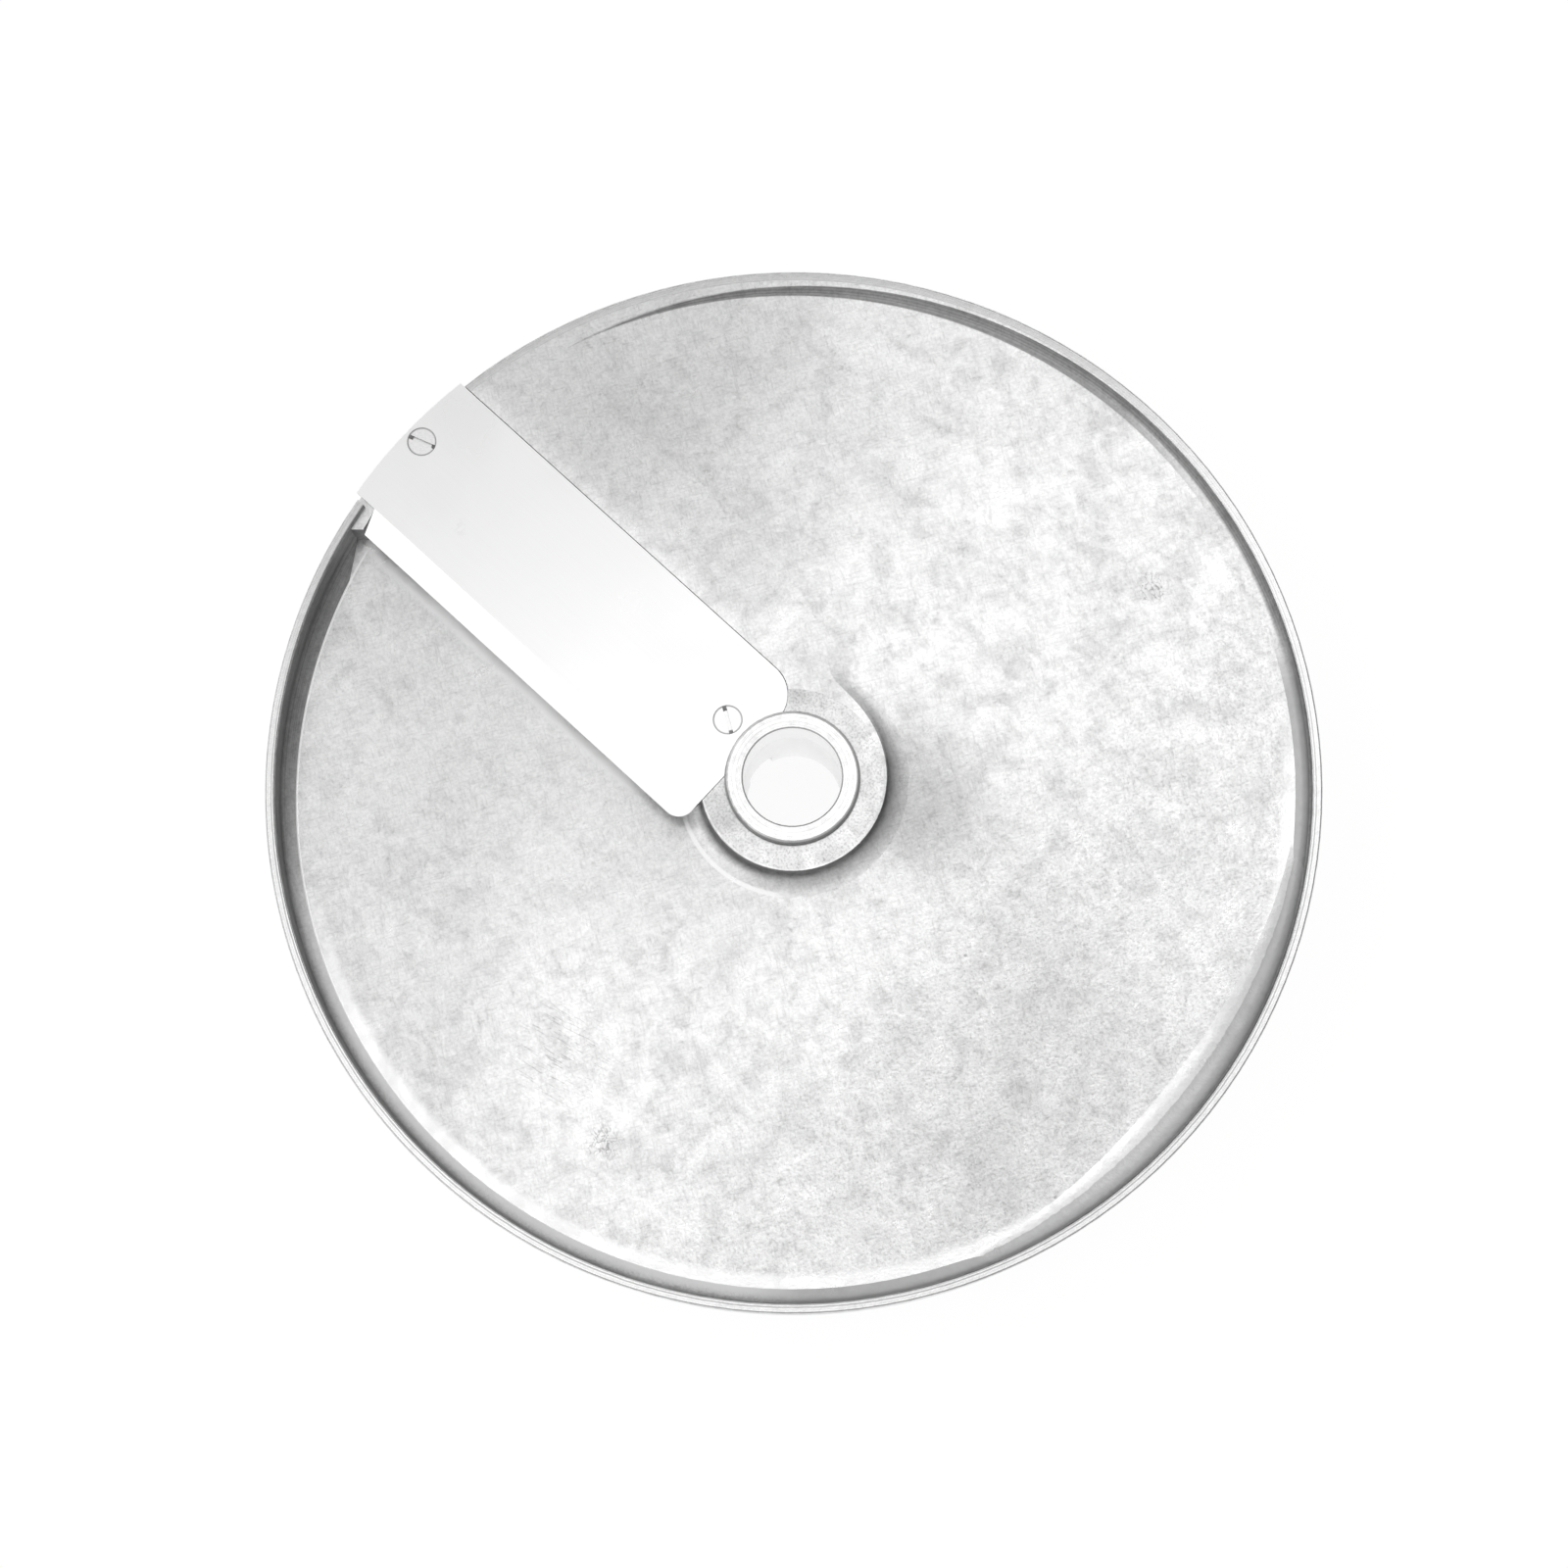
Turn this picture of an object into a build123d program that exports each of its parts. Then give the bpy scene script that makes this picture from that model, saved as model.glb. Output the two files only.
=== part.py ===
from build123d import *
import os
from math import asin, cos, radians, sin, tan

# Slicing disc for a vegetable cutter: a cast aluminium disc with a spiral ramp, a flat blade and two screws.
# Millimetres. The bore is on the Z axis, the rim's top is at Z 0 and the blade lies along +X.
# The disc turns from +X towards +Y, so the cutting edge leads on the +Y side.

# Rim
disc_diameter = 205.0
rim_radius = disc_diameter / 2
rim_width = 1.9
rim_height = 15.5
rim_edge_round = 0.4
rim_foot_round = 0.8
wall_radius = rim_radius - rim_width
wall_draft = 0.25

# Spiral ramp: it leaves the rim's top behind the blade and sinks to the slice thickness at the blade
slice_thickness = 10.0
ramp_turn = 333.0
ramp_start_angle = -19.5
ramp_end_angle = ramp_start_angle - ramp_turn
ramp_pitch = slice_thickness * 360 / ramp_turn
ramp_hub_rise = 1.4
rim_cove_height = 3.0
rim_cove_width = 2.9
rim_cove_foot_angle = 15.0
cove_stop_foot_turn = 10.3
cove_stop_wall_turn = 5.0
cove_stop_gap = 0.1
hub_cove_height = 3.2
hub_cove_width = 4.5
ramp_path_radius = 60.0
plate_thickness = 4.0
clear_above = 8.0
clear_below = 40.0

# Hub
bore_diameter = 19.2
bore_radius = bore_diameter / 2
bore_mouth_chamfer = 0.2
ring_wall = 3.45
ring_radius = bore_radius + ring_wall
ring_height = 2.0
ring_round = 0.65
ring_root = -6.5
shoulder_width = 5.05
shoulder_radius = ring_radius + shoulder_width
hub_length = 30.2
hub_foot = ring_height - hub_length
hub_inset = 0.6
hub_radius = shoulder_radius - hub_inset
hub_taper = 1.5
hub_foot_radius = hub_radius - hub_taper
hub_foot_chamfer = 0.8
drive_slot_width = 6.5
drive_slot_height = 5.0

# Underside hollow
skirt_inset = 1.2
skirt_radius = wall_radius - skirt_inset
skirt_corner = 2.5
hub_root_step = 1.4
hub_root_radius = shoulder_radius + hub_root_step
seat_bar_thickness = 6.5

# Blade
blade_thickness = 1.5
blade_overhang = 0.9
blade_radius = rim_radius + blade_overhang
blade_back = -13.85
blade_front = 16.15
bevel_width = 5.0
blade_edge = blade_front + bevel_width
edge_land = 0.12
bevel_overrun = 1.0
blade_inner_reach = 2.95
blade_inner_end = ring_radius - blade_inner_reach
blade_back_corner = 7.2
blade_front_corner = 3.5
bevel_end_inset = 5.3
bevel_end_slant = 1.8
bevel_end_outer = rim_radius - bevel_end_inset
bevel_end_inner = bevel_end_outer - bevel_end_slant

# Blade seat
seat_gap = 0.15
seat_front_gap = 0.9
pad_width = 9.0
pad_inner = rim_radius - pad_width
pad_turn_in = blade_front - 3.15
ledge_radius = wall_radius - 1.8
ledge_tip = (bevel_end_outer - 0.8, blade_edge - 0.55)
ledge_corner = (ledge_radius - 0.4, blade_edge + 1.25)
pad_overlap = 1.0
lug_width = 4.0
lug_outer = hub_root_radius + lug_width
lug_depth = 13.0

# Throat under the blade
throat_front = blade_front - 2.15
throat_back = blade_back + 9.85
throat_corner = 3.0
throat_undercut = 0.4

# Screws, M3 slotted countersunk
screw_radii = (rim_radius - 2.66, ring_radius + 4.1)
screw_slot_angles = (18.9, 147.9)
screw_diameter = 3.0
screw_clearance = 0.1
screw_head_diameter = 5.6
screw_head_sink = 0.1
screw_head_angle = 90.0
screw_length = 10.0
screw_slot_width = 0.8
screw_slot_depth = 0.8
screw_tip_chamfer = 0.3
screw_hole_depth = 10.0

# Balance swell of the cove opposite the blade
swell_angle = 184.0
swell_spread = 44.0
swell_steps = 8
swell_width = 8.1
swell_height = 4.0
swell_end_width = 2.2
swell_bury = 0.8

# Rounded edges of the rim wall and of the shoulder, fading out where the ramp is shallower than its coves
edge_round = 0.45
edge_round_turn = 235.0
wall_top_radius = wall_radius + wall_draft / 2

os.makedirs("parts", exist_ok=True)


# Height of the ramp floor at the rim, at an angle
def ramp_height(angle):
    return -slice_thickness + ramp_pitch * (angle - ramp_end_angle) / 360


# Upright plane through the bore's axis, facing along an angle, with its origin at a height
def radial_plane(angle, height):
    a = radians(angle)
    return Plane(origin=(0, 0, height), x_dir=(cos(a), sin(a), 0), z_dir=(sin(a), -cos(a), 0))


# Hollow of the ramp, with its low end on +X: floor rising a little to the hub, coves at the shoulder and
# at the rim wall
with BuildPart() as ramp_hollow:
    with BuildLine(Plane.XY.offset(-slice_thickness)) as ramp_path:
        Helix(pitch=ramp_pitch, height=slice_thickness, radius=ramp_path_radius)
    with BuildSketch(radial_plane(0, -slice_thickness)) as ramp_section:
        with BuildLine():
            foot = radians(rim_cove_foot_angle)
            wall = Line((wall_radius + wall_draft, slice_thickness + clear_above), (wall_radius, rim_cove_height))
            rim_cove = Spline(
                wall @ 1, (wall_radius - rim_cove_width, 0), tangents=(wall % 1, (-cos(foot), -sin(foot)))
            )
            floor = TangentArc(
                rim_cove @ 1, (shoulder_radius + hub_cove_width, ramp_hub_rise), tangent=(-1, 0)
            )
            hub_cove = Spline(
                floor @ 1, (shoulder_radius, ramp_hub_rise + hub_cove_height), tangents=(floor % 1, (0, 1))
            )
            riser = Line(hub_cove @ 1, (shoulder_radius, slice_thickness + clear_above))
            Line(riser @ 1, wall @ 0)
        make_face()
    sweep(sections=ramp_section.sketch, path=ramp_path.line, is_frenet=True)

# Square corner of the ramp's low end, where the rim cove stops short of the blade seat
with BuildPart() as cove_stop:
    with BuildLine(Plane.XY.offset(-slice_thickness)) as stop_path:
        Helix(
            pitch=ramp_pitch,
            height=ramp_pitch * cove_stop_foot_turn / 360,
            radius=ramp_path_radius,
        )
    with BuildSketch(radial_plane(0, -slice_thickness)) as stop_section:
        with Locations((wall_radius - rim_cove_width, 0)):
            Rectangle(rim_cove_width - cove_stop_gap, rim_cove_height, align=(Align.MIN, Align.MIN))
    sweep(sections=stop_section.sketch, path=stop_path.line, is_frenet=True)
    with BuildSketch(Plane.XY.offset(-slice_thickness)):
        with BuildLine():
            wall_side = PolarLine((0, 0), wall_radius, cove_stop_wall_turn, mode=Mode.PRIVATE)
            foot_side = PolarLine((0, 0), wall_radius - rim_cove_width, cove_stop_foot_turn, mode=Mode.PRIVATE)
            Polyline((0, 0), (disc_diameter, 0), wall_side @ 1, foot_side @ 1, close=True)
        make_face()
    extrude(amount=slice_thickness, mode=Mode.INTERSECT)

# Hollow of the underside, with its low end on +X, which follows the ramp at the plate's thickness
with BuildPart() as under_hollow:
    with BuildLine(Plane.XY.offset(-slice_thickness)) as under_path:
        Helix(pitch=ramp_pitch, height=slice_thickness, radius=ramp_path_radius)
    with BuildSketch(radial_plane(0, -slice_thickness)) as under_section:
        with BuildLine():
            Polyline(
                (hub_root_radius, -plate_thickness),
                (skirt_radius, -plate_thickness),
                (skirt_radius, -clear_below),
                (hub_root_radius, -clear_below),
                close=True,
            )
        make_face()
        fillet(under_section.vertices().group_by(Axis.Y)[-1], skirt_corner)
    sweep(sections=under_section.sketch, path=under_path.line, is_frenet=True)

# Swell of the cove opposite the blade
swell_sections = []
for step in range(swell_steps + 1):
    share = step / swell_steps
    bulge = sin(radians(180 * share)) ** 2
    width = swell_end_width + (swell_width - swell_end_width) * bulge
    height = swell_end_width + (swell_height - swell_end_width) * bulge
    angle = swell_angle - 360 + swell_spread * (2 * share - 1)
    with BuildSketch(radial_plane(angle, ramp_height(angle))) as swell_section:
        with BuildLine():
            slope = EllipticalCenterArc((wall_radius - width, height), width, height, start_angle=-90)
            Polyline(
                slope @ 1,
                (wall_radius + swell_bury, height),
                (wall_radius + swell_bury, -swell_bury),
                (wall_radius - width, -swell_bury),
                slope @ 0,
            )
        make_face()
    swell_sections.append(swell_section.sketch)

with BuildPart() as swell:
    loft(sections=swell_sections)

# Rounded edges of the rim wall and of the shoulder, with their full size on +X
with BuildPart() as edge_rounds:
    with BuildLine() as round_path:
        Helix(pitch=edge_round * 360 / edge_round_turn, height=edge_round, radius=wall_radius)
    with BuildSketch(radial_plane(0, 0)) as round_section:
        for edge_radius, side in ((wall_top_radius, 1), (shoulder_radius, -1)):
            with BuildLine():
                bend = RadiusArc(
                    (edge_radius, -edge_round), (edge_radius + side * edge_round, 0), side * edge_round
                )
                Polyline(
                    bend @ 1,
                    (edge_radius + side * edge_round, edge_round),
                    (edge_radius - side * edge_round, edge_round),
                    (edge_radius - side * edge_round, -edge_round),
                    bend @ 0,
                )
            make_face()
    sweep(sections=round_section.sketch, path=round_path.line, is_frenet=True)

# Cast body
with BuildPart() as disc_body:
    with BuildSketch(Plane.XZ):
        with BuildLine():
            Polyline(
                (0, 0),
                (rim_radius, 0),
                (rim_radius, -rim_height),
                (hub_radius, -rim_height),
                (hub_foot_radius, hub_foot),
                (0, hub_foot),
                close=True,
            )
        make_face()
    revolve(axis=Axis.Z)
    rim_circles = disc_body.edges().filter_by(GeomType.CIRCLE).group_by(SortBy.RADIUS)[-1]
    fillet(rim_circles.sort_by(Axis.Z)[-1], rim_edge_round)
    rim_circles = disc_body.edges().filter_by(GeomType.CIRCLE).group_by(SortBy.RADIUS)[-1]
    fillet(rim_circles.sort_by(Axis.Z)[0], rim_foot_round)
    chamfer(disc_body.edges().filter_by(GeomType.CIRCLE).sort_by(Axis.Z)[0], hub_foot_chamfer)
    add(ramp_hollow.part, rotation=(0, 0, ramp_end_angle), mode=Mode.SUBTRACT)
    add(under_hollow.part, rotation=(0, 0, ramp_end_angle), mode=Mode.SUBTRACT)
    add(swell.part)
    add(edge_rounds.part, rotation=(0, 0, ramp_end_angle), mode=Mode.SUBTRACT)
    add(cove_stop.part, rotation=(0, 0, ramp_end_angle), mode=Mode.SUBTRACT)
    # Hollow under the seat bar, between the two ends of the ramp
    with BuildSketch(Plane.XY.offset(-seat_bar_thickness)):
        with BuildLine():
            start_side = PolarLine((0, 0), disc_diameter, ramp_start_angle)
            end_side = PolarLine((0, 0), disc_diameter, ramp_end_angle)
            Line(start_side @ 1, end_side @ 1)
        make_face()
        Circle(skirt_radius, mode=Mode.INTERSECT)
        Circle(hub_root_radius, mode=Mode.SUBTRACT)
    extrude(amount=-clear_below, mode=Mode.SUBTRACT)
    # Pad at the rim with its ledge in front of the seat
    with BuildSketch(Plane.XY.offset(-rim_height)):
        with BuildLine():
            Polyline(
                (pad_inner, blade_back - seat_gap),
                (pad_inner, pad_turn_in),
                (ledge_radius * cos(asin(blade_front / ledge_radius)), blade_front),
                ledge_tip,
                ledge_corner,
                (rim_radius, ledge_corner[1]),
                (rim_radius, blade_back - seat_gap),
                close=True,
            )
        make_face()
        Circle(wall_radius + pad_overlap, mode=Mode.INTERSECT)
    extrude(amount=rim_height - blade_thickness)
    # Lug of the hub under the blade's inner end
    with BuildSketch(Plane.XY.offset(-lug_depth)):
        with Locations((lug_outer / 2, (throat_front + blade_back - seat_gap) / 2)):
            Rectangle(lug_outer, throat_front - blade_back + seat_gap)
    extrude(amount=lug_depth - blade_thickness)
    # Blade seat
    with BuildSketch(Plane.XY.offset(-blade_thickness)) as seat:
        with BuildLine():
            Polyline(
                (blade_inner_end - seat_gap, blade_back - seat_gap),
                (rim_radius + clear_above, blade_back - seat_gap),
                (rim_radius + clear_above, blade_front + seat_front_gap),
                (blade_inner_end - seat_gap, blade_front + seat_front_gap),
                close=True,
            )
        make_face()
        fillet(seat.vertices().group_by(Axis.X)[0].sort_by(Axis.Y)[0], blade_back_corner)
    extrude(amount=clear_above, mode=Mode.SUBTRACT)
    # Throat
    with BuildSketch(Plane.XY):
        with Locations(((lug_outer + pad_inner) / 2, (throat_front + throat_back) / 2)):
            RectangleRounded(
                pad_inner - lug_outer + 2 * throat_undercut, throat_front - throat_back, throat_corner
            )
    extrude(amount=-clear_below, mode=Mode.SUBTRACT)
    # Hub ring
    with BuildSketch(Plane.XZ) as ring_section:
        with BuildLine():
            Polyline(
                (0, ring_height),
                (ring_radius, ring_height),
                (ring_radius, ring_root),
                (0, ring_root),
                close=True,
            )
        make_face()
        fillet(ring_section.vertices().group_by(Axis.X)[-1].sort_by(Axis.Y)[-1], ring_round)
    revolve(axis=Axis.Z)
    # Bore with its broken mouth and the drive slot across the foot
    with BuildSketch(Plane.XZ):
        with BuildLine():
            Polyline(
                (0, ring_height),
                (bore_radius + bore_mouth_chamfer, ring_height),
                (bore_radius, ring_height - bore_mouth_chamfer),
                (bore_radius, hub_foot),
                (0, hub_foot),
                close=True,
            )
        make_face()
    revolve(axis=Axis.Z, mode=Mode.SUBTRACT)
    with Locations((0, 0, hub_foot)):
        Box(
            2 * hub_root_radius,
            drive_slot_width,
            drive_slot_height,
            align=(Align.CENTER, Align.CENTER, Align.MIN),
            mode=Mode.SUBTRACT,
        )
    # Screw holes
    with BuildSketch(Plane.XY.offset(-blade_thickness)):
        with Locations([(radius, 0) for radius in screw_radii]):
            Circle(screw_diameter / 2)
    extrude(amount=-screw_hole_depth, mode=Mode.SUBTRACT)
disc_body.part.label = "disc_body"
export_step(disc_body.part, "parts/disc_body.step")

# Blade, ground to a bevel on its upper side
with BuildPart() as blade:
    with BuildSketch(Plane.XY.offset(-blade_thickness)) as blade_outline:
        with BuildLine():
            Polyline(
                (blade_inner_end, blade_back),
                (blade_radius, blade_back),
                (blade_radius, blade_front),
                (bevel_end_outer, blade_front),
                (bevel_end_inner, blade_edge),
                (blade_inner_end, blade_edge),
                close=True,
            )
        make_face()
        inner_corners = blade_outline.vertices().group_by(Axis.X)[0].sort_by(Axis.Y)
        fillet(inner_corners[0], blade_back_corner)
        inner_corners = blade_outline.vertices().group_by(Axis.Y)[-1].sort_by(Axis.X)
        fillet(inner_corners[0], blade_front_corner)
        Circle(blade_radius, mode=Mode.INTERSECT)
        Circle(ring_radius + seat_gap, mode=Mode.SUBTRACT)
    extrude(amount=blade_thickness)
    with BuildSketch(Plane.YZ):
        with BuildLine():
            Polyline(
                (blade_front, 0),
                (blade_edge, edge_land - blade_thickness),
                (blade_edge + bevel_overrun, edge_land - blade_thickness),
                (blade_edge + bevel_overrun, bevel_overrun),
                (blade_front, bevel_overrun),
                close=True,
            )
        make_face()
    extrude(amount=blade_radius, mode=Mode.SUBTRACT)
    for radius in screw_radii:
        with Locations((radius, 0, 0)):
            CounterSinkHole(
                radius=screw_diameter / 2 + screw_clearance,
                counter_sink_radius=screw_head_diameter / 2 + screw_head_sink,
                depth=blade_thickness,
                counter_sink_angle=screw_head_angle,
            )
blade.part.label = "blade"
export_step(blade.part, "parts/blade.step")

# Screw, standing with its head's top face on the plane of the rim's top
head_cone = (screw_head_diameter - screw_diameter) / 2 / tan(radians(screw_head_angle / 2))
with BuildPart() as screw:
    with BuildSketch(Plane.XZ) as screw_section:
        with BuildLine():
            Polyline(
                (0, -screw_head_sink),
                (screw_head_diameter / 2, -screw_head_sink),
                (screw_diameter / 2, -screw_head_sink - head_cone),
                (screw_diameter / 2, -screw_length),
                (0, -screw_length),
                close=True,
            )
        make_face()
        tip = screw_section.vertices().group_by(Axis.Y)[0].sort_by(Axis.X)[-1]
        chamfer(tip, screw_tip_chamfer)
    revolve(axis=Axis.Z)
    with Locations((0, 0, -screw_head_sink)):
        Box(
            screw_head_diameter,
            screw_slot_width,
            screw_slot_depth,
            align=(Align.CENTER, Align.CENTER, Align.MAX),
            mode=Mode.SUBTRACT,
        )
blade_screws = Compound(
    children=[
        Location((radius, 0, 0), (0, 0, angle)) * screw.part
        for radius, angle in zip(screw_radii, screw_slot_angles)
    ]
)
blade_screws.label = "blade_screws"
export_step(blade_screws, "parts/blade_screws.step")
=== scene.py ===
from math import radians

import bpy
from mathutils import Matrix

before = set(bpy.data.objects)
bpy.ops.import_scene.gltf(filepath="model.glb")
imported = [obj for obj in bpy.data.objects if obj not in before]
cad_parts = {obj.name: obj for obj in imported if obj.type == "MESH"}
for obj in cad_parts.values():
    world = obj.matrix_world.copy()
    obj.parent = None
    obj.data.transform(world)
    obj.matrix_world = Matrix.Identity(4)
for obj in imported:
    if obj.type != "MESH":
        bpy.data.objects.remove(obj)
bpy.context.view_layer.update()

# Sizes of the disc in millimetres: the bore is on the Z axis, the rim's top at Z 0 and the blade along +X
RIM_RADIUS = 102.5
WALL_RADIUS = 100.6
COVE_FOOT_RADIUS = 97.7
RING_RADIUS = 13.05
BORE_RADIUS = 9.6
SHOULDER_RADIUS = 18.1
HUB_COVE_RADIUS = 22.6
BLADE_FRONT = 16.15
BLADE_EDGE = 21.15
HUB_FOOT = -28.2
SCREW_CENTRES = ((99.84, 0.0, 0.0), (17.15, 0.0, 0.0))
SCREW_HEAD_RADIUS = 2.8

# The scene itself is in metres
MM = 0.001

# Colour of the light and of the room
WHITE = (1.0, 1.0, 1.0, 1.0)

# Directions across the disc as the photograph shows it
PHOTO_RIGHT = (-0.7337, -0.6794, 0.0)
PHOTO_LEFT = (0.7337, 0.6794, 0.0)
PHOTO_UP = (0.6794, -0.7337, 0.0)
PHOTO_DOWN = (-0.6794, 0.7337, 0.0)

# Directions from the bore to the ramp's high end, to its lower half and to the side behind the hub
HIGH_END = (0.82, -0.572, 0.0)
LOW_HALF = (-0.819, 0.574, 0.0)
BEHIND_HUB = (-0.574, -0.819, 0.0)

# How much a pattern is stretched along its own X, Y and Z
STROKE_STRETCH = (0.35, 2.6, 1.0)
SCRATCH_STRETCH = (0.3, 3.2, 1.0)
SATIN_STRETCH = (0.06, 3.0, 1.0)
GRINDING_STRETCH = (2.4, 0.1, 1.0)

# Turns of the plate's strokes and scratches in degrees
STROKE_TURNS = (33.0, -58.0)
SCRATCH_TURN = -13.0

# Shades that follow a noise: two levels of the noise and the shade at each
CLOUD_SHADES = (0.36, 0.62, 0.85, 0.92)
PATCH_SHADES = (0.3, 0.52, 0.91, 1.0)
MOTTLE_SHADES = (0.3, 0.62, 0.91, 1.01)
GRAIN_SHADES = (0.3, 0.68, 0.9, 1.04)
STROKE_SHADES = (0.3, 0.5, 0.9, 1.03)
TURNED_RING_SHADES = (0.3, 0.7, 0.74, 0.92)
TURNED_RIM_SHADES = (0.3, 0.7, 0.76, 0.92)
HUB_MOTTLE_SHADES = (0.3, 0.6, 0.86, 1.0)
RIM_MOTTLE_SHADES = (0.3, 0.6, 0.93, 1.0)
SWELL_MOTTLE_SHADES = (0.3, 0.6, 0.94, 1.0)
SHOULDER_SHADES = (0.34, 0.56, 0.56, 0.84)
# Painted shade on the ramp's walls and coves, streaked
PAINTED_WALL_SHADES = (0.35, 0.65, 0.36, 0.52)
SATIN_SHADES = (0.2, 0.8, 0.915, 0.93)
BLADE_CLOUD_SHADES = (0.3, 0.7, 0.975, 1.0)
BEVEL_SHADES = (0.3, 0.7, 0.95, 0.98)
SCREW_SHADES = (0.2, 0.8, 0.86, 0.92)
SCREW_MARK_SHADES = (0.3, 0.6, 0.95, 1.0)

# Painted shading of the swell: two rises of its surface, then two places along Y, and the shade at each
SWELL_SHADES = (0.5, 0.95, 0.36, 0.68)
SWELL_END_SHADES = (20.0, -45.0, 1.0, 0.68)

# Shade of the bore, turned smooth
BORE_SHADE = 0.96

# Roughness of each surface, and two levels of the blade's clouds with the roughness at each
PLATE_ROUGHNESS = (0.36, 0.27)
SKIN_ROUGHNESS = 0.5
UNDERSIDE_ROUGHNESS = 0.46
TURNED_ROUGHNESS = 0.27
BEVEL_ROUGHNESS = 0.2
BLADE_ROUGHNESS = (0.3, 0.7, 0.27, 0.31)
SCREW_ROUGHNESS = (0.24, 0.34)

# Heights of the noises that roughen a surface, as a share of its bump
GRAIN_HEIGHT = 0.6
GRIT_HEIGHT = 1.4
TURNED_HEIGHT = 0.3
BLADE_GRAIN_HEIGHT = 0.2

# How far a pattern or an edge wanders with a noise, and how much one slants
GRIT_WANDER = 30.0
RING_WANDER = 0.15
RIM_WANDER = 0.6
RIM_SHADE_WANDER = 0.3
STREAK_WANDER = 0.8
STREAK_SLANT = 0.7
SWELL_SLANT = 0.07

# Shares of full strength that some marks reach
SCRATCH_STRENGTH = 0.7
# Painted highlight along the coves' feet
BRIGHT_FOOT_STRENGTH = 0.9
# Painted shade at the screw slots' ends
SLOT_END_STRENGTH = 0.3

# Shades of areas and marks, as a share of the metal round them
FLECK_SHADE = 0.86
GRIT_SHADE = 0.84
SCUFF_SHADE = 0.58
# Painted shade behind the blade
BEHIND_BLADE_PAINTED_SHADE = 0.86
# Painted shade on the plate's left side
LEFT_SIDE_PAINTED_SHADE = 0.88
# Painted shade line at the ring's foot
FOOT_LINE_PAINTED_SHADE = 0.42
# Painted shade line at the bore's mouth
MOUTH_LINE_PAINTED_SHADE = 0.6
# Darker spots on the shoulder towards the blade's end
SHOULDER_SPOT_SHADE = 0.8
# Painted shadow round the hub
HUB_PAINTED_SHADOW = 0.8
# Painted shade lines on the rim
RIM_LINE_PAINTED_SHADE = 0.58
# Painted shade on the rim at the ramp's high end
HIGH_RIM_PAINTED_SHADE = 0.78
# Duller skin under the disc
UNDERSIDE_SHADE = 0.84
# Painted shade on the blade's sides
BLADE_SIDE_PAINTED_SHADE = 0.72
# Scuff on the blade
BLADE_SCUFF_SHADE = 0.95
# Painted shade on the screws' edges, sides and slot ends
SCREW_PAINTED_SHADE = 0.5
# Painted shadow round each screw on the blade
SCREW_LINE_PAINTED_SHADOW = 0.55

# Levels of a noise where a mark or an area begins and where it is at full strength
FLECK_LEVELS = (0.43, 0.36)
FLECK_PATCH_LEVELS = (0.55, 0.42)
GRIT_LEVELS = (0.5, 0.36)
SCRATCH_LEVELS = (0.44, 0.36)
SMOOTH_LEVELS = (0.3, 0.7)

# Rise of the surface, 1 where it is level, where an area begins and where it is at full strength
RIM_TOP_RISE = (0.7, 0.95)
UPPER_RISE = (-0.4, -0.2)
UNDERSIDE_RISE = (-0.2, -0.5)
WALL_RISE = (0.92, 0.35)
COVE_RISE = (0.97, 0.955)
HUB_COVE_RISE = (0.985, 0.5)
FLOOR_RISE = (0.5, 0.8)
SWELL_RISE = (0.9985, 0.996)
SWELL_FOOT_RISE = (0.955, 0.972)
BLADE_SIDE_RISE = (0.5, 0.2)
SCREW_SIDE_RISE = (0.7, 0.3)

# Places in millimetres where an area begins and where it is at full strength, along X, Y, Z or a direction
GRIT_SIDE_X = (10.0, -45.0)
SWELL_X = (-52.0, -66.0)
BESIDE_BLADE_X = (46.0, 84.0)
BESIDE_BLADE_Y = (0.0, 5.0)
BEHIND_BLADE_X = (20.0, 34.0)
BEHIND_BLADE_FAR_Y = (-48.0, -20.0)
BEHIND_BLADE_NEAR_Y = (-14.0, -18.0)
UNDER_EDGE_X = (18.0, 26.0)
UNDER_EDGE_Z = (-1.0, -2.0)
HUB_GLINT_Y = (15.5, 19.5)
BEVEL_Y = (BLADE_FRONT - 0.05, BLADE_FRONT + 0.05)
HIGH_END_REACH = (30.0, 72.0)
LOW_HALF_REACH = (-10.0, 35.0)
BEHIND_HUB_REACH = (40.0, 75.0)
LEFT_SIDE_REACH = (40.0, 80.0)
RING_DEPTH = (-8.0, -7.0)
RING_TOP = (0.4, 0.8)
MOUTH_TOP = (1.6, 1.8)
SHOULDER_HEIGHT = (0.3, 0.2)
RIM_TOP = (-0.5, -0.3)
WALL_DEPTH = (-0.2, -0.5)
HIGH_WALL_DEPTH = (-0.03, -0.12)
GLINT_DEPTH = (-1.6, -2.2)
SCREW_SLOT_DEPTH = (-0.3, -0.4)

# Radii in millimetres where an area begins and where it is at full strength
ON_RING = (RING_RADIUS + 0.15, RING_RADIUS)
ON_RIM = (WALL_RADIUS, WALL_RADIUS + 0.3)
WITHIN_WALL = (101.0, 100.8)
WITHIN_SWELL = (100.4, 100.2)
WITHIN_COVE = (99.0, 98.5)
PAST_SHOULDER = (SHOULDER_RADIUS - 0.6, SHOULDER_RADIUS)
PAST_COVE_FOOT = (COVE_FOOT_RADIUS, COVE_FOOT_RADIUS + 0.2)
OUTER_COVE = (COVE_FOOT_RADIUS + 0.9, COVE_FOOT_RADIUS + 1.7)
HUB_COVE = (40.0, 30.0)
SWELL_REACH = (90.0, 91.0)
IN_BORE = (BORE_RADIUS + 0.08, BORE_RADIUS + 0.02)
FOOT_LINE_OUTSIDE = (RING_RADIUS + 0.55, RING_RADIUS + 0.2)
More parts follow.
